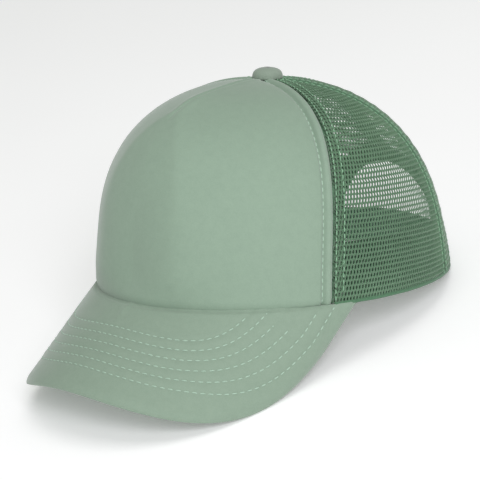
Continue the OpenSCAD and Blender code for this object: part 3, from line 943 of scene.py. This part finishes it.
cx = Bm[..., 0]
crease = 0.45 * np.exp(-((cx / 2.2) ** 2)) * sm(De, 36, 52)
d_top = -HALF_T + edge_round(De) + quilt(Dq, Bm) * sm(De, 3, 9) + crease
gap_ = np.linalg.norm(Bm - r_pts[None], axis=-1)
gap_[-5:] = 0
d_top -= 0.9 * np.exp(-((gap_ / 1.5) ** 2)) * (1 - sm(np.abs(cc), 0.93, 1.1))[None]
T_ = Bm + nB * d_top[..., None]
d_low = -HALF_T - edge_round(De) * 0.98
U_ = Bm + nB * d_low[..., None]
uvB = np.stack([Bm[..., 0] * 1.0, Bm[..., 1] / cb], -1)

# top cloth: over the top, round the edge and a little way under; rows from under the edge to the crown
n_un = int(np.searchsorted(De[:, 150], 6.5))
outer = np.concatenate([U_[n_un:0:-1], T_], 0)
inner_t = Bm + nB * np.minimum(d_top - 0.55, -0.75 + 0 * d_top)[..., None]
mid_un = Bm + nB * (-HALF_T - edge_round(De) * 0.6)[..., None]
inner_t[:2] = (Bm + nB * (-HALF_T + 0 * De)[..., None])[:2] * 0.6 + T_[:2] * 0.4
inner = np.concatenate([mid_un[n_un:0:-1], inner_t], 0)
uvt = np.concatenate([uvB[n_un:0:-1] * np.array([1, -1]), uvB], 0)
brim_top = layer("brim_top_cloth", outer, 0.6, uvt, low=inner)
brim_top.data.materials.append(m_brim)
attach(brim_top, "cap")
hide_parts("brim_top_cover")

# the thin foam under the top cloth follows the quilting
fo = De[:, 150] > 3.6
fc = r_len[:, 0] > 9
Bf, nf, df = Bm[fo][:, fc], nB[fo][:, fc], np.minimum(d_top[fo][:, fc] - 0.72, -1.0)
fo_top = Bf + nf * np.maximum(df, -1.68)[..., None]
fo_low = Bf - nf * 1.72
brim_pad = layer("brim_foam_layer", fo_top, 0.7, uvB[fo][:, fc], low=fo_low)
brim_pad.data.materials.append(m_foam)
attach(brim_pad, "cap")
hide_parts("brim_foam")

st = max(1, n_un - 1)
uc_ = r_len[:, 0] > 8
Bu, nu_, Du, Dqu = Bm[st:][:, uc_], nB[st:][:, uc_], De[st:][:, uc_], Dq[st:][:, uc_]
und_in = Bu + nu_ * (-3.45 + 0 * Du)[..., None]
d_u = -4.1 + 0.28 * np.exp(-(((Du - 6.0) / 0.8) ** 2))
for r_ in ROWS:
    d_u = d_u + 0.2 * np.exp(-(((Dqu - r_) / 0.8) ** 2))
d_u = d_u + 0.05 * soft_noise(Bu, 20, 43)
und_out = Bu + nu_ * d_u[..., None]
under = layer("brim_under_cloth", und_in, 0.6, uvB[st:][:, uc_], low=und_out)
under.data.materials.append(m_under)
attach(under, "cap")
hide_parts("brim_under_cover")

# stitch rows on the brim: where each column crosses the distance
for n_, r_ in enumerate(ROWS):
    pts, nrm, pts_u = [], [], []
    for c_ in range(len(cc)):
        col = Dq[:, c_]
        if col.max() < r_ + 0.3 or col[-1] < r_ + 0.3:
            continue
        i1 = int(np.argmax(col >= r_))
        f_ = (r_ - col[i1 - 1]) / max(col[i1] - col[i1 - 1], 1e-6)
        pts.append(T_[i1 - 1, c_] * (1 - f_) + T_[i1, c_] * f_)
        nrm.append(nB[i1, c_])
        pts_u.append(Bm[i1, c_] - nB[i1, c_] * 3.9)
    P, N = resample(np.array(pts), 0.7, np.array(nrm))
    stitches("pale", P, N, 2.7, 3.9, 0.3, 0.16, phase=0.6 + 0.9 * n_)
    Pu, Nu = resample(np.array(pts_u), 0.7, -np.array(nrm))
    stitches("pale", Pu, Nu, 2.7, 3.9, 0.28, 0.12, phase=1.4 + 0.7 * n_)

# ------------------------------------------------------------------ stitches on the crown
for sign in (1, -1):
    def lay(p, w, d, key, **kw):
        P, N = crown_line(p, w, d)
        P[:, 0] *= sign
        N[:, 0] *= sign
        stitches(key, P, N, **kw)

    w = np.linspace(0.6, 86, 400) ** 1.0
    w = w_at(seam_f(10), 1.5) + (86 - w_at(seam_f(10), 1.5)) * np.linspace(0, 1, 500) ** 1.6
    ps = seam_f(w)
    k = mm_deg(ps, w)
    lay(ps - 5.8 / k, w, front_shape(ps - 5.8 / k, w), "pale", length=2.5, pitch=3.4, r=0.3, lift=0.15)
    for m in (0.9, 5.3):
        lay(ps + m / k, w, 0.0 * w - 0.05, "green", length=2.5, pitch=3.2, r=0.32, lift=0.12, phase=m)
    pr = seam_r(w)
    k = mm_deg(pr, w)
    for m in (-3.0, 3.0):
        lay(pr + m / k, w, 0.0 * w - 0.1, "green", length=2.5, pitch=3.2, r=0.3, lift=0.1, phase=0.5 * (m > 0))
    wb_ = w_at(180, 60) + (86 - w_at(180, 60)) * np.linspace(0, 1, 300)
    pb_ = 180 - 3.0 / mm_deg(180 + 0 * wb_, wb_)
    lay(pb_, wb_, 0.0 * wb_ - 0.1, "green", length=2.5, pitch=3.2, r=0.3, lift=0.1)
for a_ in (1.6, 6.6):
    t = np.linspace(1, 179, 400)
    P = arch_pt(t, a_ + 0 * t, 0.72 + 0 * t)
    p_, w_ = arch_pw(np.where(t <= 90, t, 180 - t), a_)
    N = crown_n(np.where(t <= 90, p_, 360 - p_), np.maximum(w_, 0.02))
    P, N = resample(P, 0.8, N)
    stitches("green", P, N, 2.5, 3.2, 0.3, 0.1)
p = np.linspace(-147.5, 147.5, 900)
for z_ in (26.8,):
    P, N = resample(coff(p, w_at(p, z_), -5.1 + 0 * p), 0.8, -crown_n(p, w_at(p, z_)))
    stitches("green", P, N, 2.6, 3.4, 0.28, 0.08)

# ------------------------------------------------------------------ seam welts: the narrow fold where two mesh panels meet
for name, line, w0, sides in (("rear_left", seam_r, 1.0, 1), ("rear_right", seam_r, 1.0, -1), ("back", lambda w: 180 + 0 * w, w_at(180, 59), 1)):
    w = w0 + (86.3 - w0) * np.linspace(0, 1, 220) ** (1.5 if w0 < 2 else 1)
    P, N = crown_line(line(w), w, -0.35, 0.8)
    P[:, 0] *= sides
    N[:, 0] *= sides
    o = tube(f"seam_welt_{name}", P, N, 0.5, 0.7, mat=m_bind)
    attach(o, "cap")

# ------------------------------------------------------------------ button
def revolve(name, prof_, mat, n=64, wob=None):
    prof_ = np.array(prof_, float)
    a = np.linspace(0, 2 * math.pi, n, endpoint=False)
    V = np.stack([prof_[:, None, 0] * np.cos(a), prof_[:, None, 0] * np.sin(a), prof_[:, None, 1] + 0 * a], -1)
    if wob is not None:
        V = wob(V, a)
    V = V + np.array([0, YT, HC])
    R_ = len(prof_)
    i, j = np.meshgrid(np.arange(R_ - 1), np.arange(n), indexing="ij")
    q = np.stack([i * n + j, i * n + (j + 1) % n, (i + 1) * n + (j + 1) % n, (i + 1) * n + j], -1).reshape(-1, 4)
    caps = np.stack([np.arange(n)[::-1], (R_ - 1) * n + np.arange(n)])
    uv = V[..., :2].reshape(-1, 2)
    o = build(name, V.reshape(-1, 3), [q, caps], uv)
    o.data.materials.append(mat)
    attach(o, "cap")
    return o


ths = np.linspace(0, math.pi / 2, 26)[:-1]
out_p = [(7.75 * math.cos(t) ** 0.75, 0.6 + 4.9 * math.sin(t) ** 0.8) for t in ths] + [(0.25, 5.5)]
body_p = [(0.3, 4.6)] + [(6.9 * math.cos(t) ** 0.75, 0.5 + 4.1 * math.sin(t) ** 0.8) for t in ths[::-1]]
prof_b = body_p + [(6.6, -0.1), (7.2, -0.25), (7.7, 0.1)] + out_p


def pleat(V, a):
    r = np.hypot(V[..., 0], V[..., 1])
    z = V[..., 2]
    amt = np.exp(-((z - 0.2) / 1.0) ** 2) * (r > 6)
    g = 1 - 0.018 * amt * (np.cos(a * 22) + 0.5 * np.cos(a * 13 + 1))
    V = V.copy()
    V[..., 0] *= g
    V[..., 1] *= g
    V[..., 2] += 0.08 * np.sin(a * 3 + 0.5) * np.clip(r / 7, 0, 1)
    return V


button = revolve("button_cloth_cover", prof_b, m_button, 88, pleat)
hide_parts("button_cover")

# ------------------------------------------------------------------ straps and hidden pieces keep their CAD shape
for n_ in ("hole_strap", "peg_strap", "hole_strap_tab", "peg_strap_tab"):
    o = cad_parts[n_]
    o.data.materials.clear()
    o.data.materials.append(m_strap)
for n_, m_ in (("button_shell", m_metal), ("button_prong", m_metal), ("button_washer", m_metal), ("brim_board", m_board)):
    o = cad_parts[n_]
    o.data.materials.clear()
    o.data.materials.append(m_)

pale = finish_stitches("pale", "stitches_pale", m_thread)
grn = finish_stitches("green", "stitches_green", m_thread_g)

# ------------------------------------------------------------------ stage and light
floor_mesh = bpy.data.meshes.new("floor")
s = 6.0
floor_mesh.from_pydata([(-s, -s, 0), (s, -s, 0), (s, s, 0), (-s, s, 0)], [], [(0, 1, 2, 3)])
floor = bpy.data.objects.new("floor", floor_mesh)
bpy.context.scene.collection.objects.link(floor)
fm, nt, b = material("floor")
c = ramp(nt, noise(nt, obj_coords(nt), 3.0, 2.0), [(0.3, (0.93, 0.93, 0.93)), (0.7, (0.95, 0.95, 0.95))])
nt.links.new(c, b.inputs["Base Color"])
b.inputs["Emission Color"].default_value = (1, 1, 1, 1)
b.inputs["Emission Strength"].default_value = 0.2
b.inputs["Roughness"].default_value = 0.9
floor.data.materials.append(fm)

world = bpy.data.worlds.new("world")
bpy.context.scene.world = world
world.use_nodes = True
world.node_tree.nodes["Background"].inputs[0].default_value = (0.97, 1.0, 0.95, 1)
world.node_tree.nodes["Background"].inputs[1].default_value = 0.33


def area(name, where, size, power, target=(0, 0, 0.06), col=(1, 1, 1)):
    d = bpy.data.lights.new(name, "AREA")
    d.energy, d.size, d.color = power, size, col
    o = bpy.data.objects.new(name, d)
    bpy.context.scene.collection.objects.link(o)
    o.location = where
    o.rotation_euler = (Vector(target) - Vector(where)).to_track_quat("-Z", "Y").to_euler()
    return o


area("key", (1.62, -1.0, 1.25), 0.9, 30, col=(1.0, 0.98, 1.03))
area("top", (0.3, 0.1, 2.2), 1.4, 13)

sc = bpy.context.scene
sc.view_settings.view_transform = "Standard"
